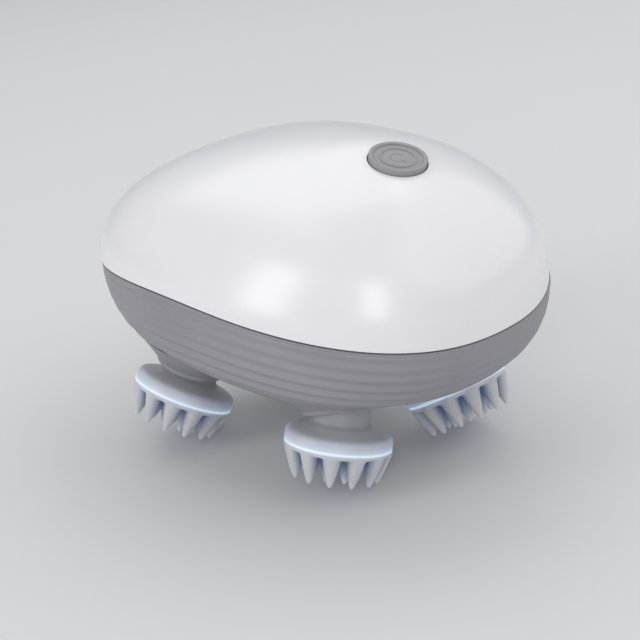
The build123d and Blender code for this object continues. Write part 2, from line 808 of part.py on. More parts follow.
nodes = {
    "top_shell": top_shell(),
    "bottom_shell": bottom_shell(),
    "shell_gasket": shell_gasket(),
    "chassis": chassis(),
    "chassis_screws": Part() + [chassis_screw(place) for place in post_places],
    "shell_screws": Part() + [shell_screw(place) for place in shell_screw_places],
    "power_button": power_button(),
    "button_membrane": button_membrane(),
    "tact_switch": tact_switch(),
    "main_board": main_board(),
    "board_parts": board_parts(),
    "board_screws": board_screws(),
    "battery_cell": battery_cell(),
    "battery_cradle": battery_cradle(),
    "charge_pad": charge_pad(),
    "charge_contacts": charge_contacts(),
    "charge_magnets": charge_magnets(),
    "gearhead_case": gearhead_case(),
    "motor_can": motor_can(),
    "motor_cap": motor_cap(),
    "motor_bracket": motor_bracket(),
    "bracket_screws": Part() + [bracket_screw(place) for place in bracket_screw_places],
    "output_shaft": output_shaft(),
    "motor_pinion": motor_pinion(),
    "drive_gear": drive_gear(),
    "drive_axle": drive_axle(),
    "spindle_bushes": Part() + [spindle_frame(name) * spindle_bush() for name in head_angles],
    "neck_seals": Part() + [spindle_frame(name) * neck_seal() for name in head_angles],
}
for name, angle in head_angles.items():
    gear_place = spindle_frame(name) * Rot(0, 0, mesh_turn(angle, drive_teeth, spindle_teeth))
    nodes["spindle_" + name] = crank_frame(name) * spindle()
    nodes["spindle_gear_" + name] = gear_place * spindle_gear()
    nodes["pin_clip_" + name] = head_frame(name) * pin_clip()
    nodes["massage_head_" + name] = head_frame(name) * massage_head()
    nodes["head_core_" + name] = head_frame(name) * head_core()
    nodes["pin_bush_" + name] = head_frame(name) * pin_bush()
    nodes["led_board_" + name] = head_frame(name) * led_board()

lowest = min(nodes["massage_head_" + name].bounding_box().min.Z for name in head_angles)
stand = Pos((tail_length - nose_length) / 2, 0, -lowest)

os.makedirs("parts", exist_ok=True)
for name, shape in nodes.items():
    export_step(stand * shape, "parts/" + name + ".step")


def report(label, frame):
    """Print a joint's point and axis in metres, in the exported frame."""
    plane = Plane(stand * frame)
    point = tuple(round(value / 1000, 7) for value in plane.origin)
    print(label, point, tuple(round(value, 8) for value in plane.z_dir))


report("drive", Pos(drive_x, 0, drive_gear_bottom))
report("motor", Pos(motor_x, 0, spur_bottom))
report("button", dome_frame(button_x))
report("charge_pad", dome_frame(pad_x) * Pos(0, 0, -pad_recess))
for name in head_angles:
    report("spindle_" + name, spindle_frame(name))
    report("head_" + name, head_frame(name))
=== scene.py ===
import json
from math import atan2, cos, hypot, pi, radians, sin

import bpy
from bpy.props import FloatProperty, FloatVectorProperty, IntProperty, PointerProperty
from mathutils import Matrix, Vector

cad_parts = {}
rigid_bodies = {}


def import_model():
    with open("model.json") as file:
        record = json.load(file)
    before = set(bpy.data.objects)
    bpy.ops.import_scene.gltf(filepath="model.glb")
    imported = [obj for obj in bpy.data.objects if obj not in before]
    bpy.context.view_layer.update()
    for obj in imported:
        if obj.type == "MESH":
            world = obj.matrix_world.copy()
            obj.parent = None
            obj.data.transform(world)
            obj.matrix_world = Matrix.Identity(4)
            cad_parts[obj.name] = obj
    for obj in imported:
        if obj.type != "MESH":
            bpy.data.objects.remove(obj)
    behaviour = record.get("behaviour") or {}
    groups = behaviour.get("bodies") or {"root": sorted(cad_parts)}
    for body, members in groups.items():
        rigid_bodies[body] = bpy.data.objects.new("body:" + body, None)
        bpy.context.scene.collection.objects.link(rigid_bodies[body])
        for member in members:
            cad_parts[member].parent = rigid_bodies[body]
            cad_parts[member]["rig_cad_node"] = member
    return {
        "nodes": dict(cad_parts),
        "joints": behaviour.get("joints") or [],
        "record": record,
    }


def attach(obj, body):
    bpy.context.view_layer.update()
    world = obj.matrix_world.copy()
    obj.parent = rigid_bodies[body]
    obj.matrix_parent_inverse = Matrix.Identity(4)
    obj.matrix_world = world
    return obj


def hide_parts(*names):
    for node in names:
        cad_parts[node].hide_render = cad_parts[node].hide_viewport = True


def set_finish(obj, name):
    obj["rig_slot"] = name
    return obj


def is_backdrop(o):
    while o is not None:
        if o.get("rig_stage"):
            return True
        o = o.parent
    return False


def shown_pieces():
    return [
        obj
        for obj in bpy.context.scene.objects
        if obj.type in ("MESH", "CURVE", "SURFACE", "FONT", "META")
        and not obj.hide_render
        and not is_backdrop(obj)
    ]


bl_info = {
    "name": "Kneading massager",
    "version": (1, 0, 0),
    "blender": (4, 5, 0),
    "location": "3D View > Sidebar > Massager",
    "description": "Grip flutes, silicone heads, button mark, finishes and studio for the massager",
    "category": "Object",
}

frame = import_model()
MM = 0.001
HEADS = ("rear_right", "front_right", "front_left", "rear_left")
JOINTS = {joint["name"]: joint for joint in frame["joints"]}
STAND_X = 5.15 * MM                # the widest level's centre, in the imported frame
SPINDLE_DROP = 36.1 * MM           # how far the spindle joints lie below that level
STAND_Z = JOINTS["spindle_spin_rear_right"]["pos_m"][2] + SPINDLE_DROP
SHARP_CAD, SHARP = 30, 50          # degrees at which an edge stays sharp, on the CAD nodes and on new pieces
MERGE = 0.001 * MM                 # distance under which points are joined


# ------------------------------------------------------------------ small tools
def deselect():
    if bpy.context.object and bpy.context.object.mode != "OBJECT":
        bpy.ops.object.mode_set(mode="OBJECT")
    bpy.ops.object.select_all(action="DESELECT")


def make_active(piece):
    deselect()
    piece.select_set(True)
    bpy.context.view_layer.objects.active = piece


def named(name):
    """The object just added by a primitive operator, under its own name."""
    piece = bpy.context.object
    piece.name = name
    piece.data.name = name
    return piece


def apply_modifiers(piece):
    make_active(piece)
    for modifier in list(piece.modifiers):
        bpy.ops.object.modifier_apply(modifier=modifier.name)


def edit_all():
    """Edit mode, with everything selected."""
    bpy.ops.object.mode_set(mode="EDIT")
    bpy.ops.mesh.select_all(action="SELECT")


def finish_edit():
    """Normals outwards, and back to object mode."""
    bpy.ops.mesh.select_all(action="SELECT")
    bpy.ops.mesh.normals_make_consistent(inside=False)
    bpy.ops.object.mode_set(mode="OBJECT")


def stack_of_rings(name, profile, sides):
    """A circle extruded ring by ring along (radius, height), and closed at both ends."""
    deselect()
    radius, height = profile[0]
    bpy.ops.mesh.primitive_circle_add(vertices=sides, radius=radius, location=(0, 0, height))
    piece = named(name)
    bpy.ops.object.transform_apply(location=True)
    edit_all()
    bpy.ops.mesh.edge_face_add()
    bpy.ops.mesh.select_all(action="SELECT")
    for new_radius, new_height in profile[1:]:
        step = (0, 0, new_height - height)
        bpy.ops.mesh.extrude_region_move(TRANSFORM_OT_translate={"value": step})
        ratio = new_radius / radius
        bpy.ops.transform.resize(value=(ratio, ratio, 1), center_override=(0, 0, new_height))
        radius, height = new_radius, new_height
    finish_edit()
    return piece


def upright_section(name, width, height, radius, level):
    """Rectangle that stands on edge at a radius and a level, ready to be spun round Z."""
    deselect()
    bpy.ops.mesh.primitive_plane_add(size=1)
    piece = named(name)
    piece.scale = (width, height, 1)
    piece.rotation_euler = (pi / 2, 0, 0)
    piece.location = (radius, 0, level)
    bpy.ops.object.transform_apply()
    return piece


def spin_section(steps, angle):
    """Spins what is being edited round Z and joins points that fall together."""
    bpy.ops.mesh.select_all(action="SELECT")
    bpy.ops.mesh.spin(steps=steps, angle=angle, center=(0, 0, 0), axis=(0, 0, 1))
    bpy.ops.mesh.select_all(action="SELECT")
    bpy.ops.mesh.remove_doubles(threshold=MERGE)
    finish_edit()


def own_copy(piece, name, place):
    """A copy with its own mesh, moved by a matrix that is applied."""
    make_active(piece)
    bpy.ops.object.duplicate()
    copy = named(name)
    copy.matrix_world = place @ copy.matrix_world
    bpy.ops.object.transform_apply()
    return copy


def joined(name, pieces):
    deselect()
    for piece in pieces:
        piece.select_set(True)
    bpy.context.view_layer.objects.active = pieces[0]
    bpy.ops.object.join()
    return named(name)


def smooth_by_angle(piece, angle):
    make_active(piece)
    bpy.ops.object.shade_smooth_by_angle(angle=radians(angle))


def clamped(value):
    return min(1.0, max(0.0, value))


def rise(value, start, end):
    """0 up to the start, 1 from the end on and straight between them; the end may be the lower one."""
    return clamped((value - start) / (end - start))


def linear_colour(colour):
    """Linear values of a colour that is written as it looks on screen."""
    return tuple(c / 12.92 if c <= 0.04045 else ((c + 0.055) / 1.055) ** 2.4 for c in colour)


# ------------------------------------------------------------------ shader node groups
NOISE_LOW, NOISE_HIGH = 0.3, 0.7       # the part of a noise's range that holds most of its values
COLOUR_A, COLOUR_B = 6, 7              # colour inputs of a Mix node
COLOUR_RESULT = 2                      # and its colour output


def new_group(name, inputs, outputs):
    group = bpy.data.node_groups.new(name, "ShaderNodeTree")
    for label, kind, value in inputs:
        socket = group.interface.new_socket(name=label, in_out="INPUT", socket_type=kind)
        socket.default_value = value
    for label, kind in outputs:
        group.interface.new_socket(name=label, in_out="OUTPUT", socket_type=kind)
    return group, group.nodes.new("NodeGroupInput"), group.nodes.new("NodeGroupOutput")


def spread_noise(nodes, links, noise):
    """Map Range node that stretches a noise over its whole output."""
    node = nodes.new("ShaderNodeMapRange")
    node.inputs["From Min"].default_value = NOISE_LOW
    node.inputs["From Max"].default_value = NOISE_HIGH
    links.new(noise.outputs["Fac"], node.inputs["Value"])
    return node


def noise_of(nodes, links, given, scale, detail):
    """Noise on the group's vector, at the scale that one of its inputs gives."""
    noise = nodes.new("ShaderNodeTexNoise")
    noise.inputs["Detail"].default_value = detail
    links.new(given.outputs["Vector"], noise.inputs["Vector"])
    links.new(given.outputs[scale], noise.inputs["Scale"])
    return noise


def moulded_surface_group():
    """Uneven colour, uneven gloss and fine grain of a moulded or turned surface."""
    group, given, result = new_group(
        "moulded surface",
        [
            ("Vector", "NodeSocketVector", (0, 0, 0)),
            ("Colour", "NodeSocketColor", (0.8, 0.8, 0.8, 1)),
            ("Shade", "NodeSocketColor", (0.7, 0.7, 0.7, 1)),
            ("Patch Scale", "NodeSocketFloat", 60.0),
            ("Low Roughness", "NodeSocketFloat", 0.3),
            ("High Roughness", "NodeSocketFloat", 0.5),
            ("Grain Scale", "NodeSocketFloat", 2500.0),
            ("Grain Height", "NodeSocketFloat", 0.1),
        ],
        [("Colour", "NodeSocketColor"), ("Roughness", "NodeSocketFloat"), ("Height", "NodeSocketFloat")],
    )
    nodes, links = group.nodes, group.links
    patches = noise_of(nodes, links, given, "Patch Scale", 3.0)
    blend = nodes.new("ShaderNodeMix")
    blend.data_type = "RGBA"
    links.new(spread_noise(nodes, links, patches).outputs["Result"], blend.inputs["Factor"])
    links.new(given.outputs["Shade"], blend.inputs[COLOUR_A])
    links.new(given.outputs["Colour"], blend.inputs[COLOUR_B])
    links.new(blend.outputs[COLOUR_RESULT], result.inputs["Colour"])
    gloss = spread_noise(nodes, links, patches)
    links.new(given.outputs["Low Roughness"], gloss.inputs["To Min"])
    links.new(given.outputs["High Roughness"], gloss.inputs["To Max"])
    links.new(gloss.outputs["Result"], result.inputs["Roughness"])
    grain = noise_of(nodes, links, given, "Grain Scale", 2.0)
    height = nodes.new("ShaderNodeMath")
    height.operation = "MULTIPLY"
    links.new(grain.outputs["Fac"], height.inputs[0])
    links.new(given.outputs["Grain Height"], height.inputs[1])
    links.new(height.outputs["Value"], result.inputs["Height"])
    return group


def drawn_lines_group():
    """Fine parallel lines, as drawing, turning or grinding leaves on metal."""
    group, given, result = new_group(
        "drawn lines",
        [
            ("Vector", "NodeSocketVector", (0, 0, 0)),
            ("Stretch", "NodeSocketVector", (1, 1, 12)),
            ("Scale", "NodeSocketFloat", 400.0),
        ],
        [("Lines", "NodeSocketFloat")],
    )
    nodes, links = group.nodes, group.links
    stretch = nodes.new("ShaderNodeVectorMath")
    stretch.operation = "MULTIPLY"
    links.new(given.outputs["Vector"], stretch.inputs[0])
    links.new(given.outputs["Stretch"], stretch.inputs[1])
    noise = nodes.new("ShaderNodeTexNoise")
    noise.inputs["Detail"].default_value = 1.0
    links.new(stretch.outputs["Vector"], noise.inputs["Vector"])
    links.new(given.outputs["Scale"], noise.inputs["Scale"])
    links.new(noise.outputs["Fac"], result.inputs["Lines"])
    return group


# ------------------------------------------------------------------ materials
BUMP_STRENGTH = 0.35
LINE_ROUGHNESS = 0.25                  # how much rougher a metal is in its drawn lines
BEVEL_SAMPLES = 8


class Finish:
    """One node material with a Principled shader and the shared surface group."""

    def __init__(self, name, colour, shade, patches, roughness, grain, groups):
        self.material = bpy.data.materials.new(name)
        self.material.use_nodes = True
        self.nodes = self.material.node_tree.nodes
        self.links = self.material.node_tree.links
        self.shader = self.nodes["Principled BSDF"]
        self.groups = groups
        self.place = self.nodes.new("ShaderNodeTexCoord").outputs["Object"]
        self.surface = self.group("moulded surface")
        self.links.new(self.place, self.surface.inputs["Vector"])
        self.surface.inputs["Colour"].default_value = (*linear_colour(colour), 1)
        self.surface.inputs["Shade"].default_value = (*linear_colour(shade), 1)
        self.surface.inputs["Patch Scale"].default_value = patches
        smooth, dull = roughness
        self.surface.inputs["Low Roughness"].default_value = smooth
        self.surface.inputs["High Roughness"].default_value = dull
        grain_scale, grain_height, grain_depth = grain
        self.surface.inputs["Grain Scale"].default_value = grain_scale
        self.surface.inputs["Grain Height"].default_value = grain_height
        self.colour = self.surface.outputs["Colour"]
        self.links.new(self.colour, self.shader.inputs["Base Color"])
        self.links.new(self.surface.outputs["Roughness"], self.shader.inputs["Roughness"])
        self.bump = self.nodes.new("ShaderNodeBump")
        self.bump.inputs["Strength"].default_value = BUMP_STRENGTH
        self.bump.inputs["Distance"].default_value = grain_depth
        self.links.new(self.surface.outputs["Height"], self.bump.inputs["Height"])
        self.links.new(self.bump.outputs["Normal"], self.shader.inputs["Normal"])

    def group(self, name):
        node = self.nodes.new("ShaderNodeGroup")
        node.node_tree = self.groups[name]
        return node

    def set(self, **values):
        """Plain values on the shader's own sockets."""
        for socket, value in values.items():
            self.shader.inputs[socket.replace("_", " ")].default_value = value
        return self

    def round_edges(self, radius):
        """Sharp edges catch the light as if they had this radius."""
        soft = self.nodes.new("ShaderNodeBevel")
        soft.samples = BEVEL_SAMPLES
        soft.inputs["Radius"].default_value = radius
        self.links.new(soft.outputs["Normal"], self.bump.inputs["Normal"])
        return self

    def attribute(self, name):
        node = self.nodes.new("ShaderNodeAttribute")
        node.attribute_name = name
        return node.outputs["Fac"]

    def blend_colour(self, factor, colour):
        """Lays another colour over the surface where the factor is high."""
        mix = self.nodes.new("ShaderNodeMix")
        mix.data_type = "RGBA"
        self.links.new(factor, mix.inputs["Factor"])
        self.links.new(self.colour, mix.inputs[COLOUR_A])
        mix.inputs[COLOUR_B].default_value = (*linear_colour(colour), 1)
        self.colour = mix.outputs[COLOUR_RESULT]
        self.links.new(self.colour, self.shader.inputs["Base Color"])
        return self

    def ramp(self, factor, stops):
        """Colours that follow one another as the factor rises."""
        node = self.nodes.new("ShaderNodeValToRGB")
        node.color_ramp.interpolation = "LINEAR"
        elements = node.color_ramp.elements
        while len(elements) < len(stops):
            elements.new(0.5)
        for element, (position, colour) in zip(elements, stops):
            element.position = position
            element.color = (*linear_colour(colour), 1)
        self.links.new(factor, node.inputs["Fac"])
        return node.outputs["Color"]

    def drawn(self, stretch, scale):
        """Adds drawn lines to the gloss of a metal."""
        lines = self.group("drawn lines")
        self.links.new(self.place, lines.inputs["Vector"])
        lines.inputs["Stretch"].default_value = stretch
        lines.inputs["Scale"].default_value = scale
        add = self.nodes.new("ShaderNodeMath")
        add.operation = "MULTIPLY_ADD"
        self.links.new(lines.outputs["Lines"], add.inputs[0])
        add.inputs[1].default_value = LINE_ROUGHNESS
        self.links.new(self.surface.outputs["Roughness"], add.inputs[2])
        self.links.new(add.outputs["Value"], self.shader.inputs["Roughness"])
        self.links.new(lines.outputs["Lines"], self.bump.inputs["Height"])
        return self


# Colour, shade of its patches, scale of the patches, roughness from smooth to dull, and the grain's scale,
# height and depth
INNER_FINISHES = {
    "gasket_dark": ((0.36, 0.36, 0.37), (0.31, 0.31, 0.32), 90, (0.6, 0.75), (2500, 0.6, 0.00003)),
    "frame_grey": ((0.34, 0.35, 0.36), (0.29, 0.30, 0.31), 80, (0.45, 0.6), (2600, 0.9, 0.00005)),
    "screw_steel": ((0.70, 0.70, 0.71), (0.60, 0.60, 0.61), 500, (0.24, 0.36), (3000, 0.5, 0.00002)),
    "seal_rubber": ((0.24, 0.24, 0.245), (0.19, 0.19, 0.195), 150, (0.6, 0.75), (2200, 0.7, 0.00004)),
    "switch_black": ((0.09, 0.09, 0.095), (0.06, 0.06, 0.065), 220, (0.38, 0.5), (2600, 0.6, 0.00003)),
    "chip_black": ((0.11, 0.11, 0.115), (0.08, 0.08, 0.085), 260, (0.45, 0.6), (4200, 0.9, 0.00004)),
    "battery_wrap": ((0.12, 0.33, 0.62), (0.10, 0.29, 0.56), 60, (0.2, 0.3), (900, 0.5, 0.00004)),
    "pad_grey": ((0.66, 0.665, 0.67), (0.62, 0.625, 0.63), 200, (0.42, 0.52), (3000, 0.7, 0.00003)),
    "contact_brass": ((0.88, 0.72, 0.40), (0.80, 0.63, 0.32), 600, (0.18, 0.28), (3000, 0.4, 0.00002)),
    "magnet_nickel": ((0.76, 0.75, 0.73), (0.68, 0.67, 0.65), 500, (0.12, 0.22), (2500, 0.4, 0.00002)),
    "motor_steel": ((0.68, 0.69, 0.70), (0.60, 0.61, 0.62), 120, (0.26, 0.38), (2600, 0.5, 0.00002)),
    "shaft_steel": ((0.74, 0.74, 0.75), (0.67, 0.67, 0.68), 300, (0.18, 0.28), (2600, 0.4, 0.00002)),
    "gear_nylon": ((0.92, 0.91, 0.87), (0.88, 0.87, 0.82), 110, (0.36, 0.48), (1800, 0.7, 0.00003)),
    "bush_brass": ((0.74, 0.58, 0.36), (0.64, 0.49, 0.29), 500, (0.34, 0.5), (3200, 1.0, 0.00005)),
    "core_clear": ((0.88, 0.92, 0.96), (0.85, 0.90, 0.95), 120, (0.15, 0.25), (1500, 0.4, 0.00002)),
    "led_white": ((0.93, 0.96, 1.0), (0.88, 0.92, 0.98), 300, (0.35, 0.45), (2600, 0.5, 0.00002)),
    "board_green": ((0.05, 0.33, 0.17), (0.04, 0.28, 0.14), 150, (0.25, 0.35), (2500, 0.3, 0.00002)),
}
# The setting that holds the colour, the shares of it in the colour and in the shade, and the rest as above
OUTER_FINISHES = {
    "shell_white": ("dome", 1.0, 0.985, 25, (0.27, 0.33), (700, 0.3, 0.00002)),
    "hull_grey": ("hull", 1.0, 0.95, 45, (0.42, 0.54), (3200, 0.8, 0.00004)),
    "button_grey": ("button", 1.0, 0.97, 160, (0.34, 0.42), (3600, 0.6, 0.00002)),
    "mark_grey": ("button", 0.94, 0.92, 300, (0.45, 0.55), (3000, 0.5, 0.00002)),
    "silicone_pale": ("silicone", 1.0, 0.965, 140, (0.36, 0.46), (1500, 0.6, 0.00003)),
}
METALS = ("screw_steel", "contact_brass", "magnet_nickel", "motor_steel", "shaft_steel", "bush_brass")
# Stretch along Z and scale of the lines that drawing or turning leaves on a metal
DRAWN_METALS = {
    "screw_steel": (10, 900),
    "contact_brass": (6, 1200),
    "motor_steel": (14, 500),
    "shaft_steel": (20, 800),
}
BUTTON_ROUNDING = 0.55 * MM


def make_finishes(colours):
    """Every material of the massager by its record slot, and mark_grey for the power mark."""
    groups = {"moulded surface": moulded_surface_group(), "drawn lines": drawn_lines_group()}
    made = {name: Finish(name, *values, groups) for name, values in INNER_FINISHES.items()}
    for name, (setting, *shares, patches, roughness, grain) in OUTER_FINISHES.items():
        colour, shade = (tuple(c * share for c in getattr(colours, setting)) for share in shares)
        made[name] = Finish(name, colour, shade, patches, roughness, grain, groups)
    for name in METALS:
        made[name].set(Metallic=1.0)
    for name, (stretch, scale) in DRAWN_METALS.items():
        made[name].drawn((1, 1, stretch), scale)
    made["shell_white"].set(Coat_Weight=1.0, Coat_Roughness=0.25, Specular_IOR_Level=0.5)
    made["hull_grey"].set(Specular_IOR_Level=0.42)
    made["button_grey"].set(Specular_IOR_Level=0.5).round_edges(BUTTON_ROUNDING)
    made["battery_wrap"].set(Coat_Weight=0.3)
    made["core_clear"].set(Coat_Weight=0.2)
    made["gear_nylon"].set(Subsurface_Weight=0.1, Subsurface_Scale=0.001)
    show_copper_runs(made["board_green"])
    light_silicone(made["silicone_pale"], colours)
    return made


def show_copper_runs(board):
    """Copper runs that show through the solder mask."""
    runs = board.nodes.new("ShaderNodeTexBrick")
    board.links.new(board.place, runs.inputs["Vector"])
    runs.inputs["Scale"].default_value = 260.0
    runs.inputs["Mortar Size"].default_value = 0.012
    board.blend_colour(runs.outputs["Fac"], (0.16, 0.48, 0.24))


# Share of the light that leaves the silicone, and its colour there
LIGHT_STOPS = (
    (0.0, (0.0, 0.0, 0.0)), (0.3, (0.17, 0.26, 0.39)), (0.45, (0.36, 0.44, 0.53)),
    (0.62, (0.54, 0.62, 0.69)), (1.0, (0.74, 0.84, 0.92)),
)


def light_silicone(silicone, colours):
    """Translucent silicone that carries the light of the board inside it, with painted shade between the
    teeth and on the neck.
    """
    silicone.set(Specular_IOR_Level=0.45, Subsurface_Weight=0.6, Subsurface_Scale=0.003)
    silicone.set(Subsurface_Radius=(0.9, 1.0, 1.1), Emission_Strength=colours.light_strength)
    # Painted shade, tinted blue, between the teeth
    silicone.blend_colour(silicone.attribute("deep"), colours.silicone_gap_shade)
    # Painted shade on the neck, which lies in the shadow of the hull
    silicone.blend_colour(silicone.attribute("over_core"), colours.silicone_neck_shade)
    light = silicone.ramp(silicone.attribute("glow"), LIGHT_STOPS)
    silicone.links.new(light, silicone.shader.inputs["Emission Color"])


# ------------------------------------------------------------------ the housing's shape
HULL = {
    "tail": 73.7, "nose": 63.4, "half_width": 49.5, "depth": 33.2, "fullness": 3.06, "lean": 2.7,
    "tail_power": 2.7, "nose_power": 2.24, "seam_span": 85.0, "tail_drop": 8.4, "nose_drop": 14.8,
}                                      # in mm, as are the points that the functions below give
DOME = {"height": 33.9, "fullness": 1.85, "lean": 11.8}
LEVEL_ROUNDS = 8                       # rounds in which a point's level and station settle


def signed_power(value, exponent):
    return abs(value) ** exponent * (1 if value >= 0 else -1)


def seam_level(x):
    """Height of the seam's arc at a station, in mm from the widest level."""
    across = x / HULL["seam_span"]
    drop = HULL["tail_drop"] if x < 0 else HULL["nose_drop"]
    return -drop * across ** 2


def hull_point(turn, below_seam):
    """Point of the lower shell's face at a turn round it and a distance under the seam, in mm."""
    tail = cos(turn) < 0
    power = 2 / (HULL["tail_power"] if tail else HULL["nose_power"])
    length = HULL["tail"] if tail else HULL["nose"]
    x = length * signed_power(cos(turn), power)
    y = HULL["half_width"] * signed_power(sin(turn), power)
    level = -below_seam
    for _ in range(LEVEL_ROUNDS):
        sunk = clamped(-level / HULL["depth"])
        share = (1 - sunk ** HULL["fullness"]) ** (1 / HULL["fullness"])
        station = x * share + HULL["lean"] * (1 - share)
        level = seam_level(station) - below_seam
    return Vector((station, y * share, level))


def dome_point(x):
    """Point of the dome's centre line, in mm from the widest level."""
    run = HULL["nose"] - DOME["lean"] if x > DOME["lean"] else HULL["tail"] + DOME["lean"]
    share = abs(x - DOME["lean"]) / run
    return (x, 0.0, DOME["height"] * (1 - share ** DOME["fullness"]) ** (1 / DOME["fullness"]))


def packed(point):
    """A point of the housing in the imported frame, in metres."""
    return Vector((point[0] * MM + STAND_X, point[1] * MM, point[2] * MM + STAND_Z))


# ------------------------------------------------------------------ settings
class MassagerGrip(bpy.types.PropertyGroup):
    flutes: IntProperty(name="Flutes", description="Number of grip flutes", default=5, min=1)
    pitch: FloatProperty(name="Pitch", description="Spacing of the flutes", default=3.4 * MM, unit="LENGTH")
    start: FloatProperty(
        name="Start", description="First flute under the seam", default=3.7 * MM, unit="LENGTH")
    depth: FloatProperty(
        name="Depth", description="Depth of the first flute", default=0.36 * MM, unit="LENGTH")
    low_share: FloatProperty(
        name="Low share", description="Depth of the lowest flute, as a share of the first", default=1.8,
        min=0.0)
    tail_share: FloatProperty(
        name="Tail share", description="Depth left at the tail, as a share", default=0.15, subtype="FACTOR")
    columns: IntProperty(name="Columns", description="Faces round the housing", default=360, min=24)


class MassagerCollar(bpy.types.PropertyGroup):
    mouth_radius: FloatProperty(
        name="Mouth", description="Radius of a collar's lower edge", default=9.7 * MM, unit="LENGTH")
    mouth_height: FloatProperty(
        name="Mouth height", description="Lip's foot above the rocking centre", default=0.72 * MM,
        unit="LENGTH")
    lip_reach: FloatProperty(
        name="Lip reach", description="Lip's face outside the mouth", default=1.2 * MM, unit="LENGTH")
    lip_width: FloatProperty(
        name="Lip width", description="Lip from side to side", default=1.6 * MM, unit="LENGTH")
    lip_height: FloatProperty(name="Lip height", description="Lip's height", default=1.9 * MM, unit="LENGTH")
    lip_rounding: FloatProperty(
        name="Lip rounding", description="Radius of the lip's edges", default=0.45 * MM, unit="LENGTH")


class MassagerHead(bpy.types.PropertyGroup):
    rim_radius: FloatProperty(name="Rim", description="Radius of the rim", default=14.8 * MM, unit="LENGTH")
    rim_depth: FloatProperty(
        name="Rim depth", description="Rim below the rocking centre", default=8.6 * MM, unit="LENGTH")
    base_depth: FloatProperty(
        name="Base depth", description="Underside of the head", default=10.2 * MM, unit="LENGTH")
    tooth_depth: FloatProperty(
        name="Tooth depth", description="Tips below the rocking centre", default=18.5 * MM, unit="LENGTH")
    outer_teeth: IntProperty(name="Outer teeth", description="Teeth on the rim", default=12, min=3)
    outer_root: FloatProperty(
        name="Outer root", description="Circle of the outer teeth's roots", default=12.1 * MM, unit="LENGTH")
    outer_tip: FloatProperty(
        name="Outer tip", description="Circle of the outer teeth's tips", default=11.5 * MM, unit="LENGTH")
    inner_teeth: IntProperty(name="Inner teeth", description="Teeth inside the rim", default=8, min=0)
    inner_root: FloatProperty(
        name="Inner root", description="Circle of the inner teeth's roots", default=6.7 * MM, unit="LENGTH")
    inner_tip: FloatProperty(
        name="Inner tip", description="Circle of the inner teeth's tips", default=6.5 * MM, unit="LENGTH")
    voxel: FloatProperty(
        name="Detail", description="Face size of the silicone", default=0.30 * MM, unit="LENGTH")


class MassagerButton(bpy.types.PropertyGroup):
    ring_radius: FloatProperty(
        name="Mark radius", description="Radius of the power mark", default=2.1 * MM, unit="LENGTH")
    line: FloatProperty(name="Line", description="Line width of the mark", default=0.42 * MM, unit="LENGTH")
    rise: FloatProperty(
        name="Rise", description="How far the mark stands up", default=0.05 * MM, unit="LENGTH")


class MassagerColours(bpy.types.PropertyGroup):
    dome: FloatVectorProperty(
        name="Dome", description="Upper shell", default=(0.935, 0.93, 0.942), subtype="COLOR_GAMMA")
    hull: FloatVectorProperty(
        name="Hull", description="Lower shell", default=(0.585, 0.58, 0.603), subtype="COLOR_GAMMA")
    button: FloatVectorProperty(
        name="Button", description="Power button", default=(0.61, 0.605, 0.62), subtype="COLOR_GAMMA")
    silicone: FloatVectorProperty(
        name="Silicone", description="Heads", default=(0.785, 0.79, 0.805), subtype="COLOR_GAMMA")
    # Colour of the painted shade between the teeth, tinted blue by the heads' light
    silicone_gap_shade: FloatVectorProperty(
        name="Silicone depth", description="Between the teeth", default=(0.21, 0.29, 0.42),
        subtype="COLOR_GAMMA")
    # Colour of the painted shade on the necks, which lie in the shadow of the hull
    silicone_neck_shade: FloatVectorProperty(
        name="Silicone neck", description="Where the silicone is thin over the core",
        default=(0.66, 0.665, 0.68), subtype="COLOR_GAMMA")
    light_strength: FloatProperty(
        name="Light", description="Strength of the light in the heads", default=0.8, min=0.0)


class MassagerStudio(bpy.types.PropertyGroup):
    azimuth: FloatProperty(
        name="Azimuth", description="Camera's turn", default=radians(49.4), subtype="ANGLE")
    elevation: FloatProperty(
        name="Elevation", description="Camera's height angle", default=radians(20.8), subtype="ANGLE")
    roll: FloatProperty(name="Roll", description="Camera's roll", default=radians(-5.9), subtype="ANGLE")
    distance: FloatProperty(
        name="Distance", description="Camera to the housing's middle", default=0.450, unit="LENGTH")
    focal: FloatProperty(name="Focal length", description="Lens, in mm", default=91.04, min=10.0)
    key_power: FloatProperty(name="Key", description="Left softbox, in watts", default=2.2, min=0.0)
    fill_power: FloatProperty(name="Fill", description="Right softbox, in watts", default=1.6, min=0.0)
    top_power: FloatProperty(name="Top", description="Overhead softbox, in watts", default=2.2, min=0.0)
    far_power: FloatProperty(name="Far", description="Far right softbox, in watts", default=4.2, min=0.0)
    sky: FloatProperty(name="Sky", description="Strength of the room's light", default=0.45, min=0.0)


# ------------------------------------------------------------------ grip flutes
FLUTE_ROWS = 12                        # rows of faces in one flute
EDGE_ROWS = FLUTE_ROWS // 3            # rows that rise out of the shell at each edge of the band
BAND_WALL = 0.8 * MM
BAND_RISE = 0.10                       # least height of the band over the shell's face, in mm
BAND_SUNK = 0.40                       # how far its edges lie under that face, in mm
TAIL_FADE = (-52.0, -7.0)              # stations where the flutes start and where they are fully deep
NOSE_FADE = (64.0, 52.0)               # the same from the nose, in mm


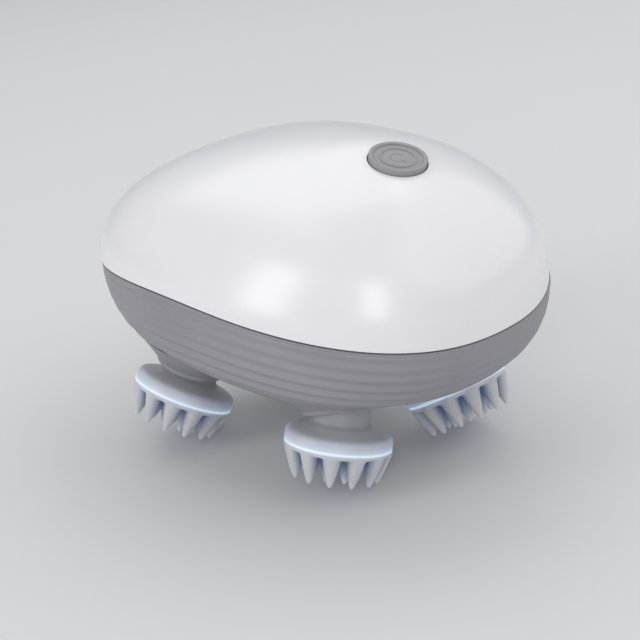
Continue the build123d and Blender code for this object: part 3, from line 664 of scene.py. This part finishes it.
def band_points(grip, rows):
    """Points of the lower shell's face under the band, row by row, and the lift of each, in mm."""
    points, lifts = [], []
    for row in range(rows + 1):
        along = (row - EDGE_ROWS) / FLUTE_ROWS
        below = (grip.start + (along - 0.5) * grip.pitch) / MM
        edge = 0.5 - 0.5 * cos(pi * clamped(min(row, rows - row) / EDGE_ROWS))
        crest = 0.5 + 0.5 * cos(2 * pi * along)
        growth = 1 + (grip.low_share - 1) * clamped((along - 0.5) / max(1, grip.flutes - 1))
        for column in range(grip.columns):
            point = hull_point(2 * pi * column / grip.columns, below)
            room = min(rise(point.x, *TAIL_FADE), rise(point.x, *NOSE_FADE))
            fade = grip.tail_share + (1 - grip.tail_share) * room
            height = BAND_RISE + crest * fade * growth * grip.depth / MM
            lifts.append(edge * height - BAND_SUNK * (1 - edge))
            points.append(point)
    return points, lifts


def band_faces(rows, columns):
    """Four-sided faces of a closed band, as indices into its rows of points."""
    faces = []
    for row in range(rows):
        for column in range(columns):
            after = (column + 1) % columns
            faces.append((
                row * columns + column, (row + 1) * columns + column,
                (row + 1) * columns + after, row * columns + after))
    return faces


class MASSAGER_OT_grip_band(bpy.types.Operator):
    """Fluted band that lies on the lower shell and follows its seam"""

    bl_idname = "massager.grip_band"
    bl_label = "Grip flutes"

    def execute(self, context):
        grip = context.scene.massager_grip
        rows = grip.flutes * FLUTE_ROWS + 2 * EDGE_ROWS
        points, lifts = band_points(grip, rows)
        deselect()
        bpy.ops.mesh.primitive_cylinder_add(vertices=grip.columns, end_fill_type="NOTHING")
        band = named("grip_flutes")
        mesh = band.data
        mesh.clear_geometry()
        mesh.from_pydata([tuple(point) for point in points], [], band_faces(rows, grip.columns))
        mesh.update()
        normals = [vertex.normal.copy() for vertex in mesh.vertices]
        for vertex, normal, lift in zip(mesh.vertices, normals, lifts):
            vertex.co = packed(vertex.co + normal * lift)
        mesh.update()
        wall = band.modifiers.new("wall", "SOLIDIFY")
        wall.thickness = BAND_WALL
        wall.offset = -1.0
        apply_modifiers(band)
        smooth_by_angle(band, SHARP)
        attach(band, "housing")
        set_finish(band, "hull_grey")
        return {"FINISHED"}


# ------------------------------------------------------------------ collar lips
LIP_STEPS = 128                        # faces round a lip
LIP_CORNER_STEPS = 5                   # faces round a corner of its section


def frame_at(name, up, other):
    """Matrix with its origin at a head's rocking centre and its Z along an axis."""
    side = up.cross(other).normalized()
    place = Matrix((side.cross(up), side, up)).transposed().to_4x4()
    place.translation = Vector(JOINTS["head_turn_" + name]["pos_m"])
    return place


def axes(name):
    """Directions of a head's crank pin and of its spindle."""
    pin = Vector(JOINTS["head_turn_" + name]["axis"]).normalized()
    spindle = Vector(JOINTS["spindle_spin_" + name]["axis"]).normalized()
    return pin, spindle


class MASSAGER_OT_collar_lips(bpy.types.Operator):
    """Rounded lip round the mouth of each collar"""

    bl_idname = "massager.collar_lips"
    bl_label = "Collar lips"

    def execute(self, context):
        collar = context.scene.massager_collar
        pattern = upright_section(
            "collar_lip", collar.lip_width, collar.lip_height,
            radius=collar.mouth_radius + collar.lip_reach - collar.lip_width / 2,
            level=collar.mouth_height + collar.lip_height / 2)
        edit_all()
        bpy.ops.mesh.bevel(
            affect="VERTICES", offset=collar.lip_rounding, segments=LIP_CORNER_STEPS, profile=0.5)
        bpy.ops.mesh.select_all(action="SELECT")
        bpy.ops.mesh.delete(type="ONLY_FACE")
        spin_section(LIP_STEPS, 2 * pi)
        smooth_by_angle(pattern, SHARP)
        for name in HEADS:
            pin, spindle = axes(name)
            lip = own_copy(pattern, "collar_lip_" + name, frame_at(name, spindle, pin))
            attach(lip, "housing")
            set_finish(lip, "hull_grey")
        bpy.data.objects.remove(pattern)
        return {"FINISHED"}


# ------------------------------------------------------------------ silicone heads
HEAD_SIDES, TOOTH_SIDES = 96, 20       # faces round a head and round a tooth, before they become one skin
SOFTEN_FACTOR, SOFTEN_TIMES = 0.5, 5   # smoothing of that skin
NECK_RADIUS = 8.1 * MM                 # the neck is part of a ball round the rocking centre
NECK_TOP = ((6.3 * MM, 4.2 * MM), (6.93 * MM, 4.2 * MM))
NECK_ANGLES = range(25, -14, -6)       # the ball's rings, in degrees above the rocking centre
# The shoulder: share of the way from neck to rim, and share of the rim's depth
SHOULDER = (
    (-0.04, 0.28), (0.00, 0.345), (0.10, 0.40), (0.25, 0.45), (0.42, 0.49), (0.60, 0.53),
    (0.75, 0.565), (0.87, 0.60), (0.95, 0.655), (0.99, 0.73), (1.0, 0.82), (1.0, 1.0),
)
BASE_EDGE = ((0.1 * MM, 0.4 * MM), (0.6 * MM, 0.0))      # rings inside the rim, and height over the base
BASE_SHARES = (0.8, 0.6, 0.4, 0.2, 0.02)       # rings of the flat base, as shares of the rim's radius
TOOTH_ROOT = ((2.9 * MM, 0.9 * MM), (2.85 * MM, 0.3 * MM))       # a tooth's rings inside the head
# Its rings below the head: radius in mm, and share of the tooth's length
TOOTH = (
    (2.72, 0.04), (2.58, 0.12), (2.36, 0.24), (2.02, 0.40), (1.66, 0.56), (1.30, 0.71),
    (1.00, 0.83), (0.82, 0.90), (0.62, 0.955), (0.40, 0.988), (0.08, 1.0),
)


def head_place(name):
    """Matrix of a head: origin at its rocking centre, Z up along its crank pin."""
    pin, spindle = axes(name)
    return frame_at(name, pin, spindle)


def head_profile(head):
    """(radius, height) rings of a head from the top of its neck to its base, in metres."""
    rim, base = head.rim_radius, head.base_depth
    neck = NECK_RADIUS
    rings = list(NECK_TOP)
    rings += [(neck * cos(radians(angle)), neck * sin(radians(angle))) for angle in NECK_ANGLES]
    rings += [(neck + out * (rim - neck), -down * head.rim_depth) for out, down in SHOULDER]
    rings += [(rim - inside, over - base) for inside, over in BASE_EDGE]
    rings += [(share * rim, -base) for share in BASE_SHARES]
    return rings


def tooth_profile(length):
    """(radius, height) rings of a tooth that hangs from its root, in metres."""
    return [*TOOTH_ROOT, *((radius * MM, -share * length) for radius, share in TOOTH)]


def tooth_places(head):
    """Matrices of the teeth, each of which leans from its root's circle to its tip's."""
    # Number of teeth, turn of the first one as a share of a step, and radii of the two circles
    circles = (
        (head.outer_teeth, 0.5, head.outer_root, head.outer_tip),
        (head.inner_teeth, 0.0, head.inner_root, head.inner_tip),
        (1, 0.0, 0.0, 0.0),
    )
    places = []
    for count, phase, root_circle, tip_circle in circles:
        lean = atan2(root_circle - tip_circle, head.tooth_depth - head.base_depth)
        for i in range(count):
            turn = radians(360 * (i + phase) / count)
            places.append(
                Matrix.Rotation(turn, 4, "Z") @ Matrix.Translation((root_circle, 0, -head.base_depth))
                @ Matrix.Rotation(lean, 4, "Y") @ Matrix.Scale(1 / cos(lean), 4, (0, 0, 1)))
    return places


# Where light leaves a head, in mm
WALL = (2.4, 1.2)                      # inside the rim: none of it, and all of it
LINE_REACH, LINE_FALL = 0.75, 0.8      # half width of the bright line at the rim, and power of its fading
HALO_OVER, HALO_FALL = 4.2, 1.2        # reach of the soft light over that line, and power of its fading
HALO_UNDER = 1.3                       # its reach below the line
HALO_LIGHT, GAP_LIGHT = 0.60, 0.28     # shares of the line's light
# Painted shade and a share of the light fill the gaps between the teeth, fully behind the teeth's outer
# faces
FACE_TAPER, FACE_CURVE = 1.6, 1.55     # how far those faces draw in from rim to tips, in mm
GAP_REACH = 2.2                        # from those faces inwards to full depth, in mm
GAP_START = 1 / 8                      # share of the way down the teeth where full depth starts
GAP_DEPTH, GAP_LOSS = 1.25, 1.35       # depth there, which is cut off at 1, and its loss down to the tips
# Radius and depth where the painted shade on the neck starts, and where it is darkest, in mm
NECK_SHADE_RADIUS, NECK_SHADE_DEPTH = (9.2, 8.2), (4.4, 3.4)


def glow_of(point, head):
    """Light, painted shade between the teeth and painted shade on the neck, at a point of a head."""
    radius, depth = hypot(point.x, point.y) / MM, -point.z / MM
    rim, rim_depth = head.rim_radius / MM, head.rim_depth / MM
    above = rim_depth - depth
    on_wall = rise(radius, rim - WALL[0], rim - WALL[1])
    line = rise(abs(above), LINE_REACH, 0) ** LINE_FALL
    halo = rise(above, HALO_OVER, 0) ** HALO_FALL if above > 0 else rise(above, -HALO_UNDER, 0)
    below = rise(depth, rim_depth, head.tooth_depth / MM)
    face = rim - FACE_TAPER * below - FACE_CURVE * below ** 2
    inside = rise(radius, face, face - GAP_REACH)
    # Mask of the painted shade between the teeth, which also carries a share of the light
    between = inside * rise(below, 0, GAP_START) * clamped(GAP_DEPTH - GAP_LOSS * below)
    # Mask of the painted shade on the neck, which lies in the shadow of the hull
    over_core = rise(radius, *NECK_SHADE_RADIUS) * rise(depth, *NECK_SHADE_DEPTH)
    return max(line * on_wall, HALO_LIGHT * halo * on_wall, GAP_LIGHT * between), between, over_core


class MASSAGER_OT_heads(bpy.types.Operator):
    """Four silicone heads, each a neck, a disc and its teeth in one moulding"""

    bl_idname = "massager.heads"
    bl_label = "Silicone heads"

    def execute(self, context):
        head = context.scene.massager_head
        parts = [stack_of_rings("head_body", head_profile(head), HEAD_SIDES)]
        tooth = stack_of_rings("head_tooth", tooth_profile(head.tooth_depth - head.base_depth), TOOTH_SIDES)
        for place in tooth_places(head):
            parts.append(own_copy(tooth, "head_tooth_copy", place))
        bpy.data.objects.remove(tooth)
        pattern = joined("head_pattern", parts)
        remesh = pattern.modifiers.new("one skin", "REMESH")
        remesh.mode = "VOXEL"
        remesh.voxel_size = head.voxel
        soften = pattern.modifiers.new("soften", "SMOOTH")
        soften.factor = SOFTEN_FACTOR
        soften.iterations = SOFTEN_TIMES
        apply_modifiers(pattern)
        mesh = pattern.data
        # Light, and the masks of the painted shade between the teeth and on the neck, stored on the points
        layers = [mesh.attributes.new(name, "FLOAT", "POINT") for name in ("glow", "deep", "over_core")]
        values = [glow_of(vertex.co, head) for vertex in mesh.vertices]
        for layer, column in zip(layers, zip(*values)):
            layer.data.foreach_set("value", column)
        make_active(pattern)
        bpy.ops.object.shade_smooth()
        for name in HEADS:
            piece = own_copy(pattern, "silicone_head_" + name, head_place(name))
            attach(piece, "head_" + name)
            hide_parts("massage_head_" + name)
            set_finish(piece, "silicone_pale")
        bpy.data.objects.remove(pattern)
        return {"FINISHED"}


# ------------------------------------------------------------------ button mark
MARK_OPENING = radians(62)             # gap in the mark's ring
MARK_STEPS = 40
BAR_SHARE = 0.95                       # the bar's length and its middle's place, as shares of the radius
MARK_STATION = 30.0                    # the button's middle along the dome, in mm
CAP_REACH = 0.55 * MM                  # the cap's face above the dome's surface


def open_ring(button):
    """The mark's ring, open at its +X side."""
    ring = upright_section("power_mark", button.line, 2 * button.rise, radius=button.ring_radius, level=0)
    ring.matrix_world = Matrix.Rotation(MARK_OPENING / 2, 4, "Z")
    bpy.ops.object.transform_apply()
    edit_all()
    spin_section(MARK_STEPS, 2 * pi - MARK_OPENING)
    return ring


def mark_bar(button):
    """The mark's bar, which lies along X through the ring's opening."""
    length = button.ring_radius * BAR_SHARE
    deselect()
    bpy.ops.mesh.primitive_cube_add(size=1, location=(length, 0, 0))
    bar = named("power_bar")
    bar.scale = (length, button.line, 2 * button.rise)
    bpy.ops.object.transform_apply()
    edge = bar.modifiers.new("edge", "BEVEL")
    edge.width = button.rise / 2
    edge.segments = 2
    apply_modifiers(bar)
    return bar


class MASSAGER_OT_button_mark(bpy.types.Operator):
    """Plain power mark, an open ring with a bar, on the button's face"""

    bl_idname = "massager.button_mark"
    bl_label = "Button mark"

    def execute(self, context):
        button = context.scene.massager_button
        mark = joined("power_mark", [open_ring(button), mark_bar(button)])
        normal = -Vector(JOINTS["button_press"]["axis"]).normalized()
        across = Vector((0, 1, 0))
        place = Matrix((across.cross(normal), across, normal)).transposed().to_4x4()
        place.translation = packed(dome_point(MARK_STATION)) + normal * CAP_REACH
        make_active(mark)
        mark.matrix_world = place
        bpy.ops.object.transform_apply()
        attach(mark, "button")
        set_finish(mark, "button_grey")
        return {"FINISHED"}


# ------------------------------------------------------------------ finishes
def give(piece, finish):
    piece.data.materials.clear()
    piece.data.materials.append(finish.material)


class MASSAGER_OT_finishes(bpy.types.Operator):
    """Node materials for every piece, by its record slot"""

    bl_idname = "massager.finishes"
    bl_label = "Finishes"

    def execute(self, context):
        made = make_finishes(context.scene.massager_colours)
        slots = {row["node"]: row["material_slot"] for row in frame["record"]["subparts"]}
        for node, piece in frame["nodes"].items():
            give(piece, made[slots[node]])
            smooth_by_angle(piece, SHARP_CAD)
        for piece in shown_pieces():
            if piece.get("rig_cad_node") is None:
                give(piece, made["mark_grey" if piece.name == "power_mark" else piece["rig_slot"]])
        return {"FINISHED"}


# ------------------------------------------------------------------ studio
CAMERA_DOWN, CAMERA_LEFT = 2.52, 0.38  # degrees that the camera turns away from the housing's middle
SENSOR_WIDTH = 36.0                    # in mm
NEAREST, FARTHEST = 0.01, 20.0         # what the camera sees, in metres
LAMPS_FACE = Vector((0, 0, 0.05))      # the point that the lamps are turned to
LAMP_DISTANCE = 0.9
# Azimuth and elevation of each lamp, in degrees, its size, and the setting that holds its power
LAMPS = {
    "softbox_left": (-16, 20, (0.36, 0.75), "key_power"),
    "softbox_right": (46, 20, (0.23, 0.70), "fill_power"),
    "softbox_top": (-113, 57, (0.90, 0.80), "top_power"),
    "softbox_far": (140, 42, (1.70, 1.20), "far_power"),
}
FLOOR_SIZE, FLOOR_COLOUR, FLOOR_ROUGHNESS = 6.0, (0.73, 0.73, 0.73, 1), 0.8
ROOM_LIGHT, ROOM_SEEN = (0.95, 0.97, 1.0, 1), (0.92, 0.92, 0.92, 1)


def direction(azimuth, elevation):
    """From the massager outwards; azimuth 0 lies along -Y."""
    return Vector((sin(azimuth) * cos(elevation), -cos(azimuth) * cos(elevation), sin(elevation)))


def camera_place(studio):
    """Camera matrix; the housing's middle sits a little above the picture's centre."""
    back = direction(studio.azimuth, studio.elevation)
    right = Vector((cos(studio.azimuth), sin(studio.azimuth), 0))
    up = back.cross(right)
    cam_x = cos(studio.roll) * right + sin(studio.roll) * up
    cam_y = -sin(studio.roll) * right + cos(studio.roll) * up
    place = Matrix((cam_x, cam_y, back)).transposed().to_4x4()
    place.translation = Vector((STAND_X, 0, STAND_Z)) + back * studio.distance
    pitch = Matrix.Rotation(-radians(CAMERA_DOWN), 4, "X")
    yaw = Matrix.Rotation(radians(CAMERA_LEFT), 4, "Y")
    return place @ pitch @ yaw


def softbox(name, azimuth, elevation, size, power):
    """Soft lamp in a direction from the massager, turned to face it."""
    back = direction(radians(azimuth), radians(elevation))
    deselect()
    bpy.ops.object.light_add(type="AREA", location=LAMPS_FACE + back * LAMP_DISTANCE)
    lamp = bpy.context.object
    lamp.name = name
    lamp.data.shape = "RECTANGLE"
    lamp.data.size, lamp.data.size_y = size
    lamp.data.energy = power
    lamp.rotation_euler = (-back).to_track_quat("-Z", "Y").to_euler()


class MASSAGER_OT_studio(bpy.types.Operator):
    """Pale floor, soft lamps and the camera"""

    bl_idname = "massager.studio"
    bl_label = "Studio"

    def execute(self, context):
        scene = context.scene
        studio = scene.massager_studio
        scene.view_settings.view_transform = "Standard"
        deselect()
        bpy.ops.object.camera_add()
        camera = bpy.context.object
        camera.name = "camera"
        camera.data.lens = studio.focal
        camera.data.sensor_width = SENSOR_WIDTH
        camera.data.clip_start, camera.data.clip_end = NEAREST, FARTHEST
        camera.matrix_world = camera_place(studio)
        scene.camera = camera
        self.floor()
        self.room(studio)
        for name, (azimuth, elevation, size, power) in LAMPS.items():
            softbox(name, azimuth, elevation, size, getattr(studio, power))
        return {"FINISHED"}

    def floor(self):
        deselect()
        bpy.ops.mesh.primitive_plane_add(size=FLOOR_SIZE, location=(0, 0, 0))
        floor = named("floor")
        material = bpy.data.materials.new("floor_pale")
        material.use_nodes = True
        shader = material.node_tree.nodes["Principled BSDF"]
        shader.inputs["Base Color"].default_value = FLOOR_COLOUR
        shader.inputs["Roughness"].default_value = FLOOR_ROUGHNESS
        floor.data.materials.append(material)
        floor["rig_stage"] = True

    def room(self, studio):
        world = bpy.data.worlds.new("room")
        bpy.context.scene.world = world
        world.use_nodes = True
        nodes, links = world.node_tree.nodes, world.node_tree.links
        light = nodes["Background"]
        light.inputs["Color"].default_value = ROOM_LIGHT
        light.inputs["Strength"].default_value = studio.sky
        seen = nodes.new("ShaderNodeBackground")
        seen.inputs["Color"].default_value = ROOM_SEEN
        path = nodes.new("ShaderNodeLightPath")
        mix = nodes.new("ShaderNodeMixShader")
        links.new(path.outputs["Is Camera Ray"], mix.inputs["Fac"])
        links.new(light.outputs["Background"], mix.inputs[1])
        links.new(seen.outputs["Background"], mix.inputs[2])
        links.new(mix.outputs["Shader"], nodes["World Output"].inputs["Surface"])


# ------------------------------------------------------------------ panel and registration
class MASSAGER_PT_panel(bpy.types.Panel):
    """The massager's pieces and settings"""

    bl_label = "Massager"
    bl_space_type = "VIEW_3D"
    bl_region_type = "UI"
    bl_category = "Massager"

    def draw(self, context):
        for operator in ("grip_band", "collar_lips", "heads", "button_mark", "finishes", "studio"):
            self.layout.operator("massager." + operator)
        for group in ("grip", "collar", "head", "button", "colours", "studio"):
            box = self.layout.box()
            values = getattr(context.scene, "massager_" + group)
            for prop in values.bl_rna.properties:
                if prop.identifier not in ("rna_type", "name"):
                    box.prop(values, prop.identifier)


GROUPS = {
    "grip": MassagerGrip, "collar": MassagerCollar, "head": MassagerHead, "button": MassagerButton,
    "colours": MassagerColours, "studio": MassagerStudio,
}
CLASSES = (
    *GROUPS.values(), MASSAGER_OT_grip_band, MASSAGER_OT_collar_lips, MASSAGER_OT_heads,
    MASSAGER_OT_button_mark, MASSAGER_OT_finishes, MASSAGER_OT_studio, MASSAGER_PT_panel,
)


def register():
    for item in CLASSES:
        bpy.utils.register_class(item)
    for name, group in GROUPS.items():
        setattr(bpy.types.Scene, "massager_" + name, PointerProperty(type=group))


def unregister():
    for name in GROUPS:
        delattr(bpy.types.Scene, "massager_" + name)
    for item in reversed(CLASSES):
        bpy.utils.unregister_class(item)


def main():
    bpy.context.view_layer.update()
    register()
    bpy.ops.massager.grip_band()
    bpy.ops.massager.collar_lips()
    bpy.ops.massager.heads()
    bpy.ops.massager.button_mark()
    bpy.ops.massager.finishes()
    bpy.ops.massager.studio()


if __name__ == "__main__":
    main()
